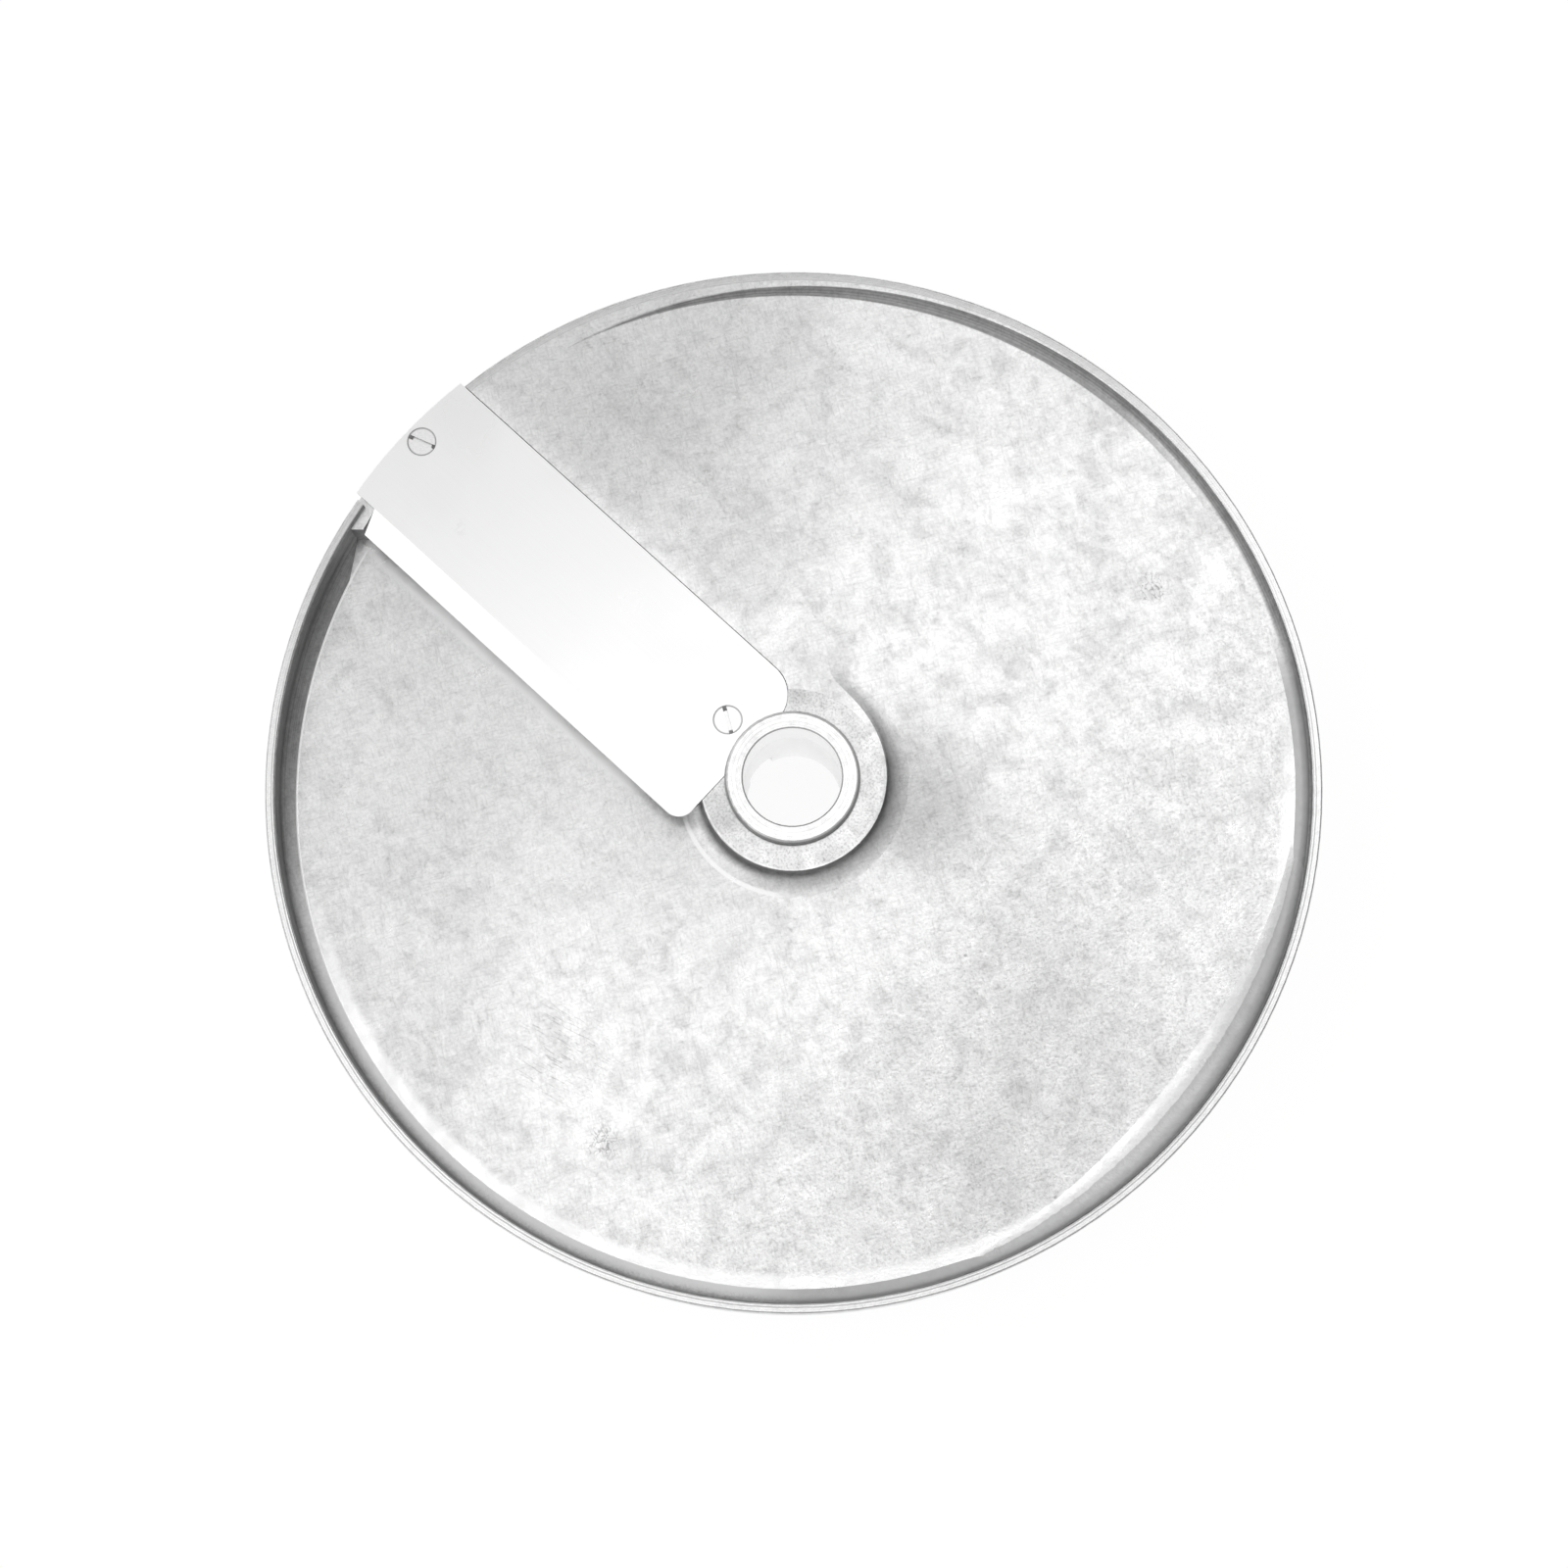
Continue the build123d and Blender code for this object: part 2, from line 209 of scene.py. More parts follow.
RIM_SHADE_CORNER = (RIM_RADIUS - 0.45, RIM_RADIUS - 0.25)
SCREW_HEAD_EDGE = (SCREW_HEAD_RADIUS - 0.3, SCREW_HEAD_RADIUS - 0.1)
SCREW_LINE = (SCREW_HEAD_RADIUS + 0.16, SCREW_HEAD_RADIUS + 0.06)
SCREW_SLOT_END = (1.9, 2.6)

# Painted shade line at the ring's foot: inner edge before its width, radius at full strength, and a width at
# each side
FOOT_LINE_EDGE = RING_RADIUS + 0.1
FOOT_LINE_FULL = RING_RADIUS + 0.05
FOOT_LINE_WIDTHS = (-RING_RADIUS, RING_RADIUS, 0.3, 0.62)

# Painted shade lines on the rim: two places towards the photograph's lower side and the strength at each
RIM_SHADE_STRENGTHS = (-60.0, 20.0, 0.3, 1.0)

# Bands in millimetres: start, end and how soft both sides are; all but the shoulder's top are bands of
# painted light or shade
UNDER_EDGE = (BLADE_EDGE - 3.0, BLADE_EDGE + 0.6, 2.0)
MOUTH_LINE = (BORE_RADIUS + 0.05, BORE_RADIUS + 0.25, 0.12)
SHOULDER_TOP = (RING_RADIUS + 0.3, SHOULDER_RADIUS - 0.5, 0.25)
HUB_SHADOW = (SHOULDER_RADIUS, SHOULDER_RADIUS + 1.2, 2.2)
HUB_GLINT = (HUB_COVE_RADIUS - 0.7, HUB_COVE_RADIUS - 0.2, 0.35)
BRIGHT_FOOT = (COVE_FOOT_RADIUS - 1.6, COVE_FOOT_RADIUS + 0.6, 1.8)
FOOT_GLINT = (COVE_FOOT_RADIUS - 0.15, COVE_FOOT_RADIUS + 0.1, 0.15)
RIM_SHADE_LINE = (RIM_RADIUS - 1.2, RIM_RADIUS - 1.05, 0.12)

# Spots of painted shade on the plate: centre, radius at full strength, radius where it ends, and shade
PAINTED_SHADE_SPOTS = (
    ((-19.7, -13.7, -4.0), 3.0, 19.0, 0.7),
    ((-76.0, 18.0, -5.0), 8.0, 48.0, 0.87),
    ((74.5, -46.9, 0.0), 8.0, 42.0, 0.82),
    ((11.0, -19.0, 0.0), 3.0, 12.0, 0.86),
)

# Other marks: centre, radius at full strength and radius where it ends
RIGHT_SCUFF = ((-25.7, -75.9, -2.6), 1.5, 4.5)
LOWER_SCUFF = ((-20.4, 76.0, -7.0), 1.0, 5.0)
LOWER_SCRATCHES = ((-3.1, 68.5, -8.0), 4.0, 15.0)
PITS = (((-47.6, 2.3, -4.3), 0.15, 0.45), ((-91.4, 25.0, -5.3), 0.15, 0.45))
SHOULDER_DARK_SPOTS = (((10.8, -14.9, 0.0), 2.0, 7.0), ((5.9, 14.6, 0.0), 2.0, 8.0))
BLADE_SCUFF = ((82.0, 7.6, 0.0), 0.5, 2.6)


class Graph:
    """Builds one node tree."""

    def __init__(self, tree):
        self.tree = tree
        tree.nodes.clear()

    def node(self, kind, settings=None, **inputs):
        made = self.tree.nodes.new(kind)
        for name, value in (settings or {}).items():
            setattr(made, name, value)
        for name, value in inputs.items():
            self.set(made.inputs[name.replace("_", " ")], value)
        return made

    def set(self, socket, value):
        if isinstance(value, bpy.types.NodeSocket):
            self.tree.links.new(value, socket)
        else:
            socket.default_value = value

    def math(self, operation, a, b=0.0):
        made = self.node("ShaderNodeMath", {"operation": operation})
        self.set(made.inputs[0], a)
        self.set(made.inputs[1], b)
        return made.outputs[0]

    def add(self, a, b):
        return self.math("ADD", a, b)

    def sub(self, a, b):
        return self.math("SUBTRACT", a, b)

    def abs(self, a):
        return self.math("ABSOLUTE", a)

    def mul(self, first, *others):
        for other in others:
            first = self.math("MULTIPLY", first, other)
        return first

    def most(self, first, *others):
        for other in others:
            first = self.math("MAXIMUM", first, other)
        return first

    def least(self, a, b):
        return self.math("MINIMUM", a, b)

    def opposite(self, share):
        return self.sub(1.0, share)

    def vector(self, operation, a, b=(0, 0, 0)):
        made = self.node("ShaderNodeVectorMath", {"operation": operation})
        self.set(made.inputs[0], a)
        self.set(made.inputs[1], b)
        single = operation in ("LENGTH", "DISTANCE", "DOT_PRODUCT")
        return made.outputs["Value"] if single else made.outputs[0]

    def step(self, value, low, high, to_low=0.0, to_high=1.0):
        """From to_low where the value is at low, smoothly to to_high where it is at high."""
        made = self.node("ShaderNodeMapRange", {"interpolation_type": "SMOOTHSTEP"})
        for socket, given in zip(made.inputs, (value, low, high, to_low, to_high)):
            self.set(socket, given)
        return made.outputs[0]

    def where(self, *limits):
        """One where each limit's value is past its last number, fading to zero at its first number."""
        return self.mul(*(self.step(*limit) for limit in limits))

    def band(self, value, low, high, soft):
        """One between low and high, fading to zero over soft outside them."""
        return self.where((value, low - soft, low), (value, high + soft, high))

    def near(self, place, centre, inner, outer):
        """One within the inner radius of a centre, fading to zero at the outer one."""
        return self.step(self.vector("DISTANCE", place, centre), outer, inner)

    def mix(self, share, a, b):
        made = self.node("ShaderNodeMix", {"data_type": "FLOAT", "clamp_factor": True})
        self.set(made.inputs[0], share)
        self.set(made.inputs[2], a)
        self.set(made.inputs[3], b)
        return made.outputs[0]

    def dim(self, shade, share, to):
        """The shade, multiplied by a lower one where the share is one."""
        return self.mul(shade, self.mix(share, 1.0, to))

    def noise(self, place, scale, detail, roughness=0.5, distortion=0.0):
        made = self.node(
            "ShaderNodeTexNoise",
            Vector=place,
            Scale=scale,
            Detail=detail,
            Roughness=roughness,
            Distortion=distortion,
        )
        return made.outputs["Fac"]

    def strokes(self, place, turn, stretch, roughness=0.6):
        """A noise drawn out into short strokes."""
        turned = self.node("ShaderNodeMapping", Vector=place, Rotation=(0, 0, radians(turn)))
        stretched = self.vector("MULTIPLY", turned.outputs[0], stretch)
        return self.noise(stretched, scale=1.0, detail=3.0, roughness=roughness)

    def squiggle(self, place, scale, width, distortion):
        """Thin wandering lines along one level of a distorted noise."""
        field = self.noise(place, scale, detail=2.0, distortion=distortion)
        return self.step(self.abs(self.sub(field, 0.5)), width, width / 3)

    def combine(self, x, y):
        return self.node("ShaderNodeCombineXYZ", X=x, Y=y).outputs[0]

    def split(self, vector):
        return self.node("ShaderNodeSeparateXYZ", Vector=vector).outputs

    def join_shaders(self, share, first, second):
        mixed = self.node("ShaderNodeMixShader", Fac=share)
        self.set(mixed.inputs[1], first.outputs[0])
        self.set(mixed.inputs[2], second.outputs[0])
        return mixed

    def output(self, kind, shader):
        out = self.node(kind)
        self.set(out.inputs["Surface"], shader.outputs[0])


class Metal(Graph):
    """A metal's node tree, with the place in millimetres and the surface's rise that its looks follow."""

    def __init__(self, name):
        self.material = bpy.data.materials.new(name)
        self.material.use_nodes = True
        super().__init__(self.material.node_tree)
        metres = self.node("ShaderNodeTexCoord").outputs["Object"]
        self.place = self.vector("MULTIPLY", metres, (1 / MM, 1 / MM, 1 / MM))
        self.x, self.y, self.z = self.split(self.place)
        self.flat = self.combine(self.x, self.y)
        self.radius = self.vector("LENGTH", self.flat)
        self.rise = self.split(self.node("ShaderNodeNewGeometry").outputs["Normal"])[2]

    def towards(self, direction):
        """How far the place is from the bore in a direction."""
        return self.vector("DOT_PRODUCT", self.flat, direction)

    def from_screw(self, centre):
        return self.vector("LENGTH", self.vector("SUBTRACT", self.flat, centre))

    def bump(self, height, strength, distance, normal=None):
        made = self.node("ShaderNodeBump", Strength=strength, Distance=distance, Height=height)
        if normal is not None:
            self.set(made.inputs["Normal"], normal)
        return made.outputs[0]

    def complete(self, shade, roughness, normal):
        color = self.node("ShaderNodeCombineColor")
        for socket in color.inputs:
            self.set(socket, shade)
        shader = self.node(
            "ShaderNodeBsdfPrincipled",
            Metallic=1.0,
            Base_Color=color.outputs[0],
            Roughness=roughness,
            Normal=normal,
        )
        self.output("ShaderNodeOutputMaterial", shader)
        return self.material


class Casting(Metal):
    """Cast aluminium: tumbled plate, turned ring and rim, dull skin under the disc, rough skin with painted
    shade in the coves, and other painted light and shade.
    """

    def __init__(self):
        super().__init__("CastAluminium")
        self.patches = self.noise(self.place, scale=0.17, detail=5.0, roughness=0.7, distortion=0.5)
        self.mottle = self.noise(self.place, scale=0.5, detail=4.0, roughness=0.65, distortion=0.3)
        self.grain = self.noise(self.place, scale=1.7, detail=3.0, roughness=0.6)
        self.grit = self.noise(self.place, scale=1.5, detail=2.0, roughness=0.7)
        self.on_grit_side = self.step(self.add(self.x, self.mul(self.patches, GRIT_WANDER)), *GRIT_SIDE_X)

        # Areas of the casting that several of its looks share
        self.on_ring = self.where((self.radius, *ON_RING), (self.z, *RING_DEPTH))
        self.on_rim = self.where((self.radius, *ON_RIM), (self.rise, *RIM_TOP_RISE), (self.z, *RIM_TOP))
        swell_side = self.add(self.x, self.mul(self.y, SWELL_SLANT))
        self.on_swell = self.where((swell_side, *SWELL_X), (self.radius, *WITHIN_SWELL))
        self.high_end = self.step(self.towards(HIGH_END), *HIGH_END_REACH)
        self.behind_hub = self.step(self.towards(BEHIND_HUB), *BEHIND_HUB_REACH)
        self.upper = self.step(self.rise, *UPPER_RISE)
        self.underside = self.step(self.rise, *UNDERSIDE_RISE)
        self.deep = self.mix(
            self.high_end,
            self.step(self.z, *WALL_DEPTH),
            self.step(self.z, *HIGH_WALL_DEPTH),
        )
        self.steep = self.steep_parts()
        # Walls and coves of the ramp with rough skin, which also get painted shade
        self.skin = self.mul(
            self.where((self.radius, *PAST_SHOULDER), (self.radius, *WITHIN_WALL)),
            self.steep,
            self.deep,
            self.upper,
        )

    def steep_parts(self):
        """Walls of the ramp, and the parts of its coves that get the walls' rough skin and painted shade."""
        in_cove = self.where((self.radius, *PAST_COVE_FOOT), (self.rise, *COVE_RISE))
        by_blade = self.where((self.x, *BESIDE_BLADE_X), (self.y, *BESIDE_BLADE_Y))
        outer_cove = self.step(self.radius, *OUTER_COVE)
        return self.most(
            self.step(self.rise, *WALL_RISE),
            self.mul(in_cove, self.most(by_blade, self.high_end)),
            self.mul(outer_cove, self.behind_hub),
            self.where((self.rise, *HUB_COVE_RISE), (self.radius, *HUB_COVE)),
        )

    def plate(self):
        """Mottling of the tumbled plate, from broad clouds to fine grain, short strokes and dark flecks."""
        clouds = self.noise(self.place, scale=0.028, detail=3.0, roughness=0.62, distortion=0.5)
        strokes = self.least(*(self.strokes(self.place, turn, STROKE_STRETCH) for turn in STROKE_TURNS))
        shade = self.mul(
            self.step(clouds, *CLOUD_SHADES),
            self.step(self.patches, *PATCH_SHADES),
            self.step(self.mottle, *MOTTLE_SHADES),
            self.step(self.grain, *GRAIN_SHADES),
            self.step(strokes, *STROKE_SHADES),
        )
        flecks = self.noise(self.place, scale=0.85, detail=5.0, roughness=0.75, distortion=0.6)
        flecked = self.where((flecks, *FLECK_LEVELS), (self.patches, *FLECK_PATCH_LEVELS))
        return self.dim(shade, flecked, to=FLECK_SHADE)

    def painted_light_and_shade(self, shade):
        """Painted shade in darker spots and areas of the plate, and painted light in a strip under the
        cutting edge.
        """
        # Painted shade in darker spots of the plate
        for centre, inner, outer, level in PAINTED_SHADE_SPOTS:
            shade = self.dim(shade, self.near(self.place, centre, inner, outer), to=level)
        # Painted shade behind the blade and on the plate's left side
        behind_blade = self.where(
            (self.y, *BEHIND_BLADE_FAR_Y),
            (self.y, *BEHIND_BLADE_NEAR_Y),
            (self.x, *BEHIND_BLADE_X),
        )
        shade = self.dim(shade, behind_blade, to=BEHIND_BLADE_PAINTED_SHADE)
        left_side = self.step(self.towards(PHOTO_LEFT), *LEFT_SIDE_REACH)
        shade = self.dim(shade, left_side, to=LEFT_SIDE_PAINTED_SHADE)
        # Painted light in a strip under the cutting edge, where the blade's shadow falls
        painted_light_under_edge = self.mul(
            self.band(self.y, *UNDER_EDGE),
            self.where((self.x, *UNDER_EDGE_X), (self.z, *UNDER_EDGE_Z)),
            self.where((self.radius, *WITHIN_COVE), (self.rise, *FLOOR_RISE)),
        )
        return self.mix(painted_light_under_edge, shade, 1.0)

    def marks(self, shade):
        """Gritty skin on the side away from the blade, scuffs, scratches and pits."""
        grains = self.mul(self.on_grit_side, self.step(self.grit, *GRIT_LEVELS))
        shade = self.dim(shade, grains, to=GRIT_SHADE)
        scratches = self.strokes(self.place, SCRATCH_TURN, SCRATCH_STRETCH)
        scratches = self.step(scratches, *SCRATCH_LEVELS)
        right_lines = self.squiggle(self.place, scale=0.42, width=0.03, distortion=1.6)
        lower_lines = self.squiggle(self.place, scale=0.6, width=0.06, distortion=1.2)
        marked = self.most(
            self.mul(right_lines, self.near(self.place, *RIGHT_SCUFF)),
            self.mul(lower_lines, self.near(self.place, *LOWER_SCUFF)),
            self.mul(scratches, self.near(self.place, *LOWER_SCRATCHES), SCRATCH_STRENGTH),
            *(self.near(self.place, *pit) for pit in PITS),
        )
        return self.dim(shade, marked, to=SCUFF_SHADE)

    def ring(self, shade):
        """Turned ring, with painted shade lines at its foot and at the bore's mouth, and the bore's smooth
        wall.
        """
        turning = self.combine(self.radius, self.mul(self.grain, RING_WANDER))
        turned = self.noise(turning, scale=5.0, detail=2.0, roughness=0.6)
        ring_shade = self.mul(
            self.step(turned, *TURNED_RING_SHADES),
            self.step(self.mottle, *HUB_MOTTLE_SHADES),
        )
        shade = self.mix(self.mul(self.on_ring, self.step(self.z, *RING_TOP)), shade, ring_shade)
        # Painted shade lines at the ring's foot, wider towards one side, and at the bore's mouth
        line_width = self.step(self.towards(PHOTO_DOWN), *FOOT_LINE_WIDTHS)
        foot_line = self.where(
            (self.radius, self.sub(FOOT_LINE_EDGE, line_width), FOOT_LINE_FULL),
            (self.radius, *FOOT_LINE_OUTSIDE),
        )
        shade = self.dim(shade, foot_line, to=FOOT_LINE_PAINTED_SHADE)
        mouth_line = self.mul(self.band(self.radius, *MOUTH_LINE), self.step(self.z, *MOUTH_TOP))
        shade = self.dim(shade, mouth_line, to=MOUTH_LINE_PAINTED_SHADE)
        return self.mix(self.step(self.radius, *IN_BORE), shade, BORE_SHADE)

    def shoulder(self, shade):
        """Shoulder, duller than the plate and darker in two soft spots towards the blade's end."""
        level_with_rim = self.step(self.abs(self.z), *SHOULDER_HEIGHT)
        on_shoulder = self.mul(self.band(self.radius, *SHOULDER_TOP), level_with_rim)
        speckle = self.noise(self.place, scale=2.2, detail=4.0, roughness=0.7, distortion=0.4)
        dull = self.step(speckle, *SHOULDER_SHADES)
        # Darker spots towards the blade's end
        dark_spots = self.most(*(self.near(self.place, *spot) for spot in SHOULDER_DARK_SPOTS))
        dull = self.dim(dull, dark_spots, to=SHOULDER_SPOT_SHADE)
        return self.mix(on_shoulder, shade, self.mul(dull, self.step(self.mottle, *HUB_MOTTLE_SHADES)))

    def coves(self, shade):
        """Painted shade on the walls and in the coves of the ramp, painted highlights along their feet and
        round the hub, and a painted shadow round the hub.
        """
        slanting = self.add(self.radius, self.mul(self.z, STREAK_SLANT))
        smear = self.combine(slanting, self.mul(self.patches, STREAK_WANDER))
        streaks = self.noise(smear, scale=1.9, detail=2.0, roughness=0.6)
        # Painted shade on the walls and in the coves, streaked
        painted_wall_shade_area = self.mul(self.skin, self.opposite(self.on_swell))
        shade = self.dim(shade, painted_wall_shade_area, to=self.step(streaks, *PAINTED_WALL_SHADES))
        # Painted highlight along the coves' feet, on the ramp's lower half
        painted_foot_highlight = self.mul(
            self.band(self.radius, *BRIGHT_FOOT),
            self.step(self.towards(LOW_HALF), *LOW_HALF_REACH),
            self.upper,
            BRIGHT_FOOT_STRENGTH,
        )
        shade = self.mix(self.mul(painted_foot_highlight, self.opposite(self.steep)), shade, 1.0)
        # Painted glint along the cove's foot
        painted_foot_glint = self.mul(
            self.band(self.radius, *FOOT_GLINT),
            self.step(self.z, *GLINT_DEPTH),
            self.upper,
            self.opposite(self.most(self.on_swell, self.behind_hub)),
        )
        shade = self.mix(painted_foot_glint, shade, 1.0)
        # Painted glint round the hub
        painted_hub_glint = self.mul(
            self.band(self.radius, *HUB_GLINT),
            self.step(self.y, *HUB_GLINT_Y),
            self.upper,
        )
        shade = self.mix(painted_hub_glint, shade, 1.0)
        # Painted shadow round the hub
        painted_hub_shadow = self.mul(self.band(self.radius, *HUB_SHADOW), self.deep, self.upper)
        return self.dim(shade, painted_hub_shadow, to=HUB_PAINTED_SHADOW)

    def swell(self, shade):
        """Swell of the rim, with painted shading: a painted highlight along its foot and painted shade as it
        steepens.
        """
        area = self.mul(
            self.on_swell,
            self.deep,
            self.upper,
            self.where((self.radius, *SWELL_REACH), (self.rise, *SWELL_RISE)),
        )
        # Painted shading: a painted highlight along the foot, painted shade as the surface steepens and
        # towards one end
        swell_painted_shading = self.mul(
            self.most(self.step(self.rise, *SWELL_SHADES), self.step(self.rise, *SWELL_FOOT_RISE)),
            self.step(self.mottle, *SWELL_MOTTLE_SHADES),
            self.step(self.y, *SWELL_END_SHADES),
        )
        return self.mix(area, shade, swell_painted_shading)

    def rim(self, shade):
        """Rim's top, turned, with painted shade along two lines and at the ramp's high end."""
        turning = self.combine(self.radius, self.mul(self.patches, RIM_WANDER))
        turned = self.noise(turning, scale=3.2, detail=3.0, roughness=0.6)
        wavering = self.add(self.radius, self.mul(self.patches, RIM_SHADE_WANDER))
        # Painted shade along two lines of the rim, stronger towards one side and gone at the ramp's high end
        painted_rim_shade = self.mul(
            self.most(
                self.band(wavering, *RIM_SHADE_LINE),
                self.step(self.radius, *RIM_SHADE_CORNER),
            ),
            self.step(self.towards(PHOTO_DOWN), *RIM_SHADE_STRENGTHS),
            self.opposite(self.high_end),
        )
        rim_shade = self.dim(self.step(turned, *TURNED_RIM_SHADES), painted_rim_shade, to=RIM_LINE_PAINTED_SHADE)
        # Painted shade on the rim at the ramp's high end
        rim_shade = self.dim(rim_shade, self.high_end, to=HIGH_RIM_PAINTED_SHADE)
        return self.mix(self.on_rim, shade, self.mul(rim_shade, self.step(self.mottle, *RIM_MOTTLE_SHADES)))

    def roughness(self):
        rough = self.mix(self.step(self.patches, *SMOOTH_LEVELS), *PLATE_ROUGHNESS)
        rough = self.mix(self.skin, rough, SKIN_ROUGHNESS)
        rough = self.mix(self.underside, rough, UNDERSIDE_ROUGHNESS)
        return self.mix(self.most(self.on_ring, self.on_rim), rough, TURNED_ROUGHNESS)

    def bumps(self):
        grit = self.mul(self.grit, self.on_grit_side, GRIT_HEIGHT)
        height = self.add(self.mul(self.grain, GRAIN_HEIGHT), grit)
        height = self.dim(height, self.most(self.on_ring, self.on_rim), to=TURNED_HEIGHT)
        bumped = self.bump(height, strength=0.5, distance=0.05 * MM)
        return self.bump(self.mottle, strength=0.35, distance=0.06 * MM, normal=bumped)


def cast_aluminium():
    g = Casting()
    shade = g.plate()
    for look in (g.painted_light_and_shade, g.marks, g.ring, g.shoulder, g.coves, g.swell, g.rim):
        shade = look(shade)
    shade = g.dim(shade, g.underside, to=UNDERSIDE_SHADE)
    return g.complete(shade, g.roughness(), g.bumps())


def blade_steel():
    """Satin steel, with a ground bevel, painted shade on its sides and a painted shadow round each screw."""
    g = Metal("BladeSteel")
    satin = g.strokes(g.place, 0.0, SATIN_STRETCH, roughness=0.5)
    cloud = g.noise(g.place, scale=0.05, detail=3.0)
    grain = g.noise(g.place, scale=3.0, detail=2.0)
    shade = g.mul(g.step(satin, *SATIN_SHADES), g.step(cloud, *BLADE_CLOUD_SHADES))
    grinding = g.strokes(g.place, 0.0, GRINDING_STRETCH)
    on_bevel = g.step(g.y, *BEVEL_Y)
    shade = g.mix(on_bevel, shade, g.step(grinding, *BEVEL_SHADES))
    # Painted shade on the blade's sides
    shade = g.dim(shade, g.step(g.abs(g.rise), *BLADE_SIDE_RISE), to=BLADE_SIDE_PAINTED_SHADE)
    # Painted shadow round each screw
    for centre in SCREW_CENTRES:
        line = g.step(g.from_screw(centre), *SCREW_LINE)
        shade = g.dim(shade, line, to=SCREW_LINE_PAINTED_SHADOW)
    scuff = g.squiggle(g.place, scale=0.6, width=0.05, distortion=1.0)
    shade = g.dim(shade, g.mul(scuff, g.near(g.place, *BLADE_SCUFF)), to=BLADE_SCUFF_SHADE)
    rough = g.mix(on_bevel, g.step(cloud, *BLADE_ROUGHNESS), BEVEL_ROUGHNESS)
    bumped = g.bump(g.add(satin, g.mul(grain, BLADE_GRAIN_HEIGHT)), strength=0.05, distance=0.01 * MM)
    return g.complete(shade, rough, bumped)


def screw_steel():
    """Screw steel, with painted shade on its heads' edges, on its sides and at the slot's ends."""
    g = Metal("ScrewSteel")
    grain = g.noise(g.place, scale=4.0, detail=3.0)
    marks = g.noise(g.place, scale=1.2, detail=3.0, roughness=0.6)
    shade = g.mul(g.step(grain, *SCREW_SHADES), g.step(marks, *SCREW_MARK_SHADES))
    off = g.least(*(g.from_screw(centre) for centre in SCREW_CENTRES))
    # Painted shade on the head's edge, on the sides and at the slot's ends
    head_edge = g.step(off, *SCREW_HEAD_EDGE)
    sides = g.step(g.abs(g.rise), *SCREW_SIDE_RISE)
    slot_end = g.mul(g.where((off, *SCREW_SLOT_END), (g.z, *SCREW_SLOT_DEPTH)), SLOT_END_STRENGTH)
    shade = g.dim(shade, g.most(head_edge, sides, slot_end), to=SCREW_PAINTED_SHADE)
    bumped = g.bump(grain, strength=0.1, distance=0.01 * MM)
    return g.complete(shade, g.mix(grain, *SCREW_ROUGHNESS), bumped)


for node, finish in (("disc_body", cast_aluminium), ("blade", blade_steel), ("blade_screws", screw_steel)):
    finished = finish()
    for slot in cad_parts[node].material_slots:
        slot.material = finished

# Floor, white to the camera and in reflections
FLOOR_SIZE = 6.0
FLOOR_GREY = (0.9, 0.9, 0.9, 1.0)
FLOOR_GLOW = 1.08
FLOOR_GLOW_SHARE = 0.85
bpy.ops.mesh.primitive_plane_add(size=FLOOR_SIZE, location=(0, 0, HUB_FOOT * MM))
floor = bpy.context.object
floor.name = "floor"
floor_material = bpy.data.materials.new("FloorPaper")
floor_material.use_nodes = True
g = Graph(floor_material.node_tree)
rays = g.node("ShaderNodeLightPath").outputs
seen = g.most(rays["Is Camera Ray"], rays["Is Glossy Ray"], rays["Is Transmission Ray"])
paper = g.node("ShaderNodeBsdfDiffuse", Color=FLOOR_GREY)
glow = g.node("ShaderNodeEmission", Color=WHITE, Strength=FLOOR_GLOW)
g.output("ShaderNodeOutputMaterial", g.join_shaders(g.mul(seen, FLOOR_GLOW_SHARE), paper, glow))
floor.data.materials.append(floor_material)

# Grey room: its brightness, and two rises with how much its right side is darker at each
ROOM_LEVEL = 0.59
ROOM_FALL = (0.5, 0.85, 0.22, 0.0)

# Long soft light overhead, slanting up to the right: its brightness, slant, middle and edges
STRIP_LEVEL = 1.4
SLANT_RIGHT = 0.896
SLANT_UP = 0.445
STRIP_MIDDLE_ALONG = 0.086
STRIP_MIDDLE_ACROSS = 0.118
STRIP_LENGTH = (0.3, 0.17)
STRIP_WIDTH = (0.14, 0.06)
STRIP_RISE = (0.3, 0.6)

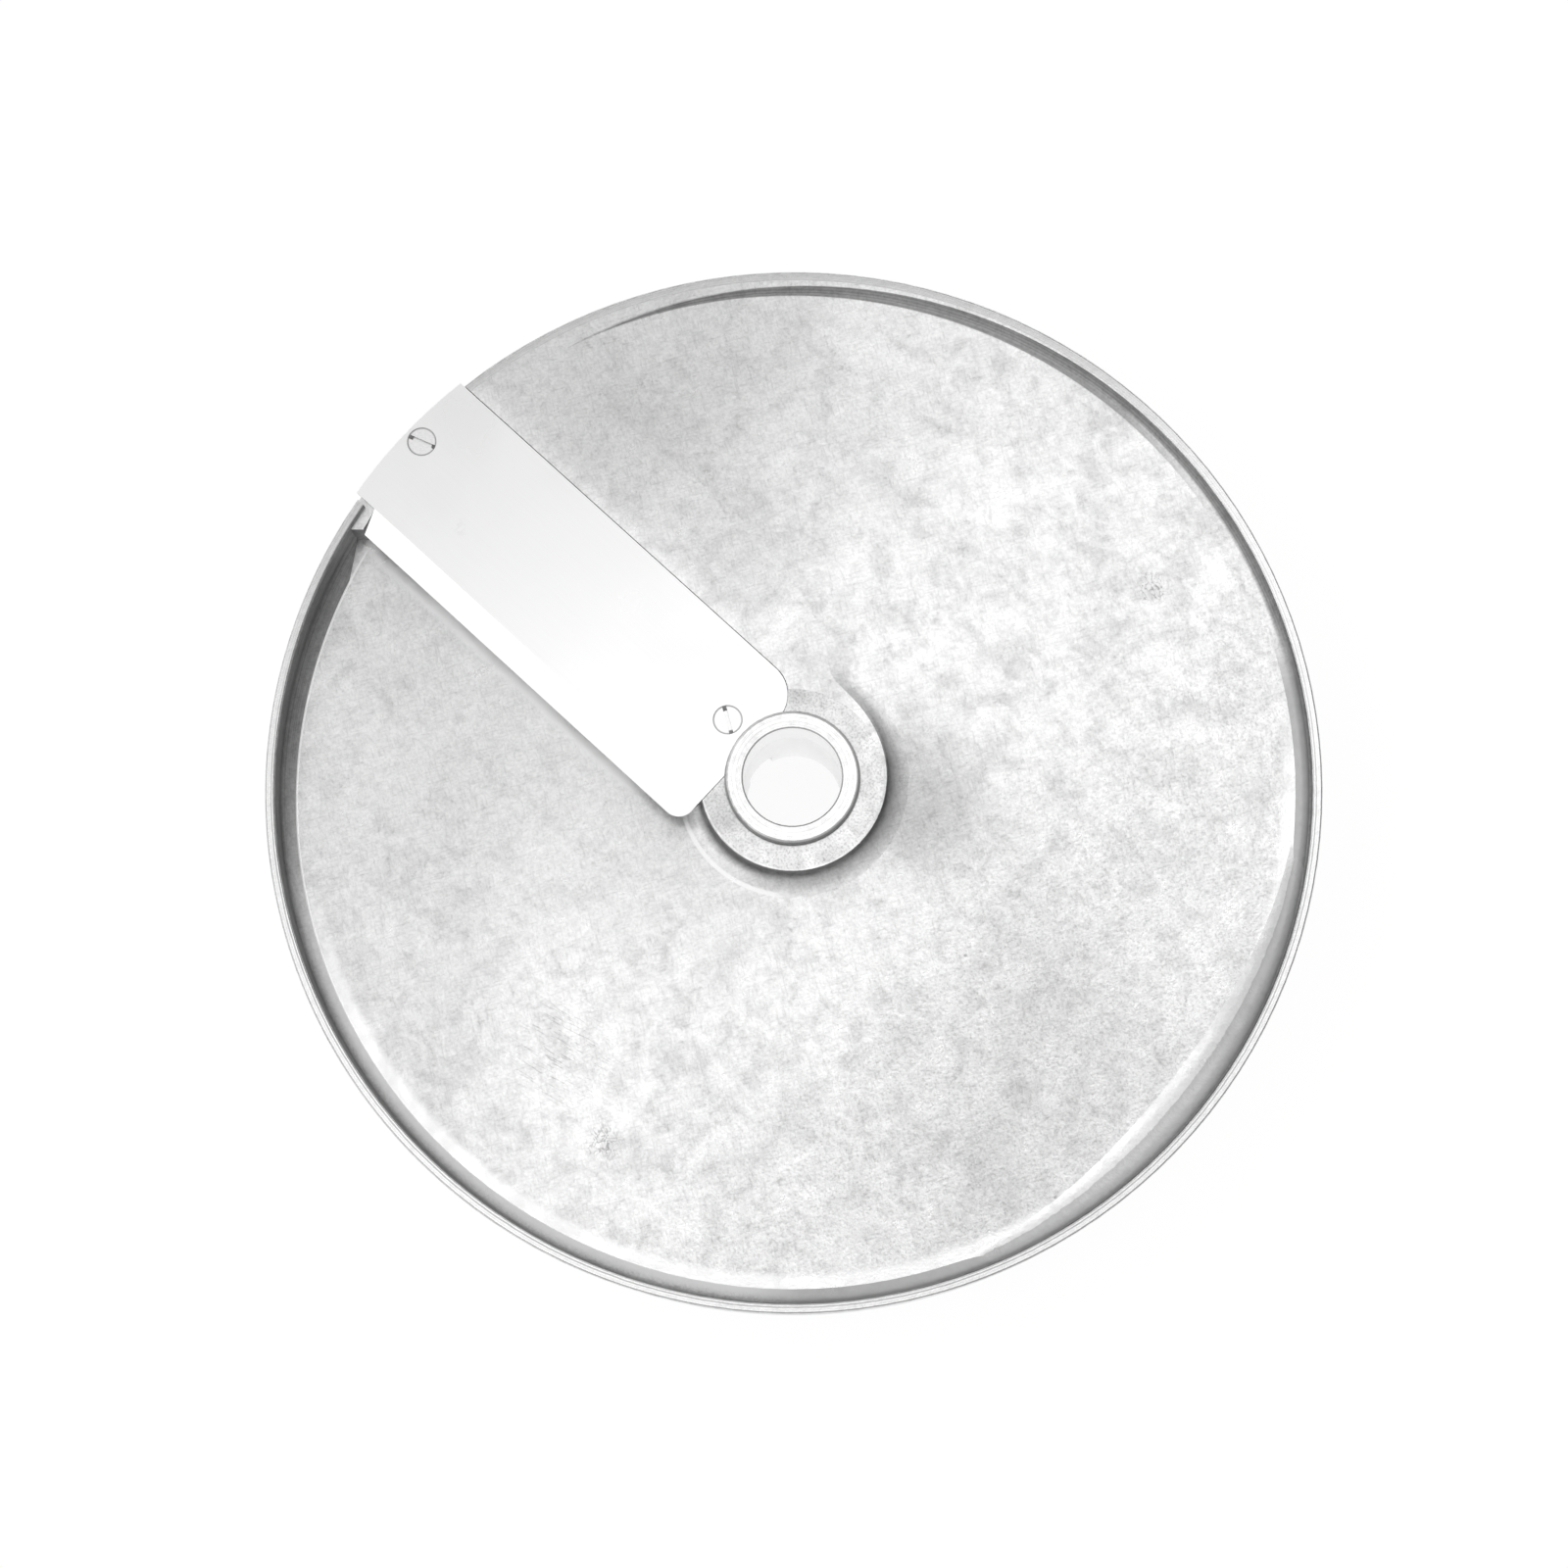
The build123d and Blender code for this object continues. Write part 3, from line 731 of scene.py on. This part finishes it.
# Broad light at the left: its brightness and edges
SIDE_LEVEL = 0.6
SIDE_RIGHT = (-0.27, -0.41)
SIDE_UP = (0.75, 0.5)
SIDE_RISE = (0.5, 0.75)

# Studio, which the camera sees as plain white
world = bpy.data.worlds.new("Studio")
bpy.context.scene.world = world
world.use_nodes = True
g = Graph(world.node_tree)
way = g.node("ShaderNodeTexCoord").outputs["Generated"]
rise = g.split(way)[2]
right = g.vector("DOT_PRODUCT", way, PHOTO_RIGHT)
up = g.vector("DOT_PRODUCT", way, PHOTO_UP)
along = g.sub(g.add(g.mul(right, SLANT_RIGHT), g.mul(up, SLANT_UP)), STRIP_MIDDLE_ALONG)
across = g.sub(g.add(g.mul(right, -SLANT_UP), g.mul(up, SLANT_RIGHT)), STRIP_MIDDLE_ACROSS)
strip = g.where((g.abs(across), *STRIP_WIDTH), (g.abs(along), *STRIP_LENGTH), (rise, *STRIP_RISE))
side = g.where((right, *SIDE_RIGHT), (rise, *SIDE_RISE), (g.abs(up), *SIDE_UP))
room = g.sub(ROOM_LEVEL, g.mul(right, g.step(rise, *ROOM_FALL)))
level = g.add(room, g.add(g.mul(strip, STRIP_LEVEL), g.mul(side, SIDE_LEVEL)))
level = g.mix(g.node("ShaderNodeLightPath").outputs["Is Camera Ray"], level, 1.0)
g.output("ShaderNodeOutputWorld", g.node("ShaderNodeBackground", Color=WHITE, Strength=level))

# Camera, with its place in metres, its turn in degrees and its lens and sensor in millimetres
CAMERA_PLACE = (-0.081574, 0.075433, 0.627340)
CAMERA_TURN = (9.9174, 0.9352, -137.2)
CAMERA_LENS = 75.49
CAMERA_SENSOR = 36.0
CAMERA_NEAR = 0.01
camera = bpy.data.objects.new("Camera", bpy.data.cameras.new("Camera"))
camera.location = CAMERA_PLACE
camera.rotation_euler = [radians(angle) for angle in CAMERA_TURN]
camera.data.lens = CAMERA_LENS
camera.data.sensor_width = CAMERA_SENSOR
camera.data.clip_start = CAMERA_NEAR
bpy.context.scene.collection.objects.link(camera)
bpy.context.scene.camera = camera

bpy.context.scene.view_settings.view_transform = "Standard"
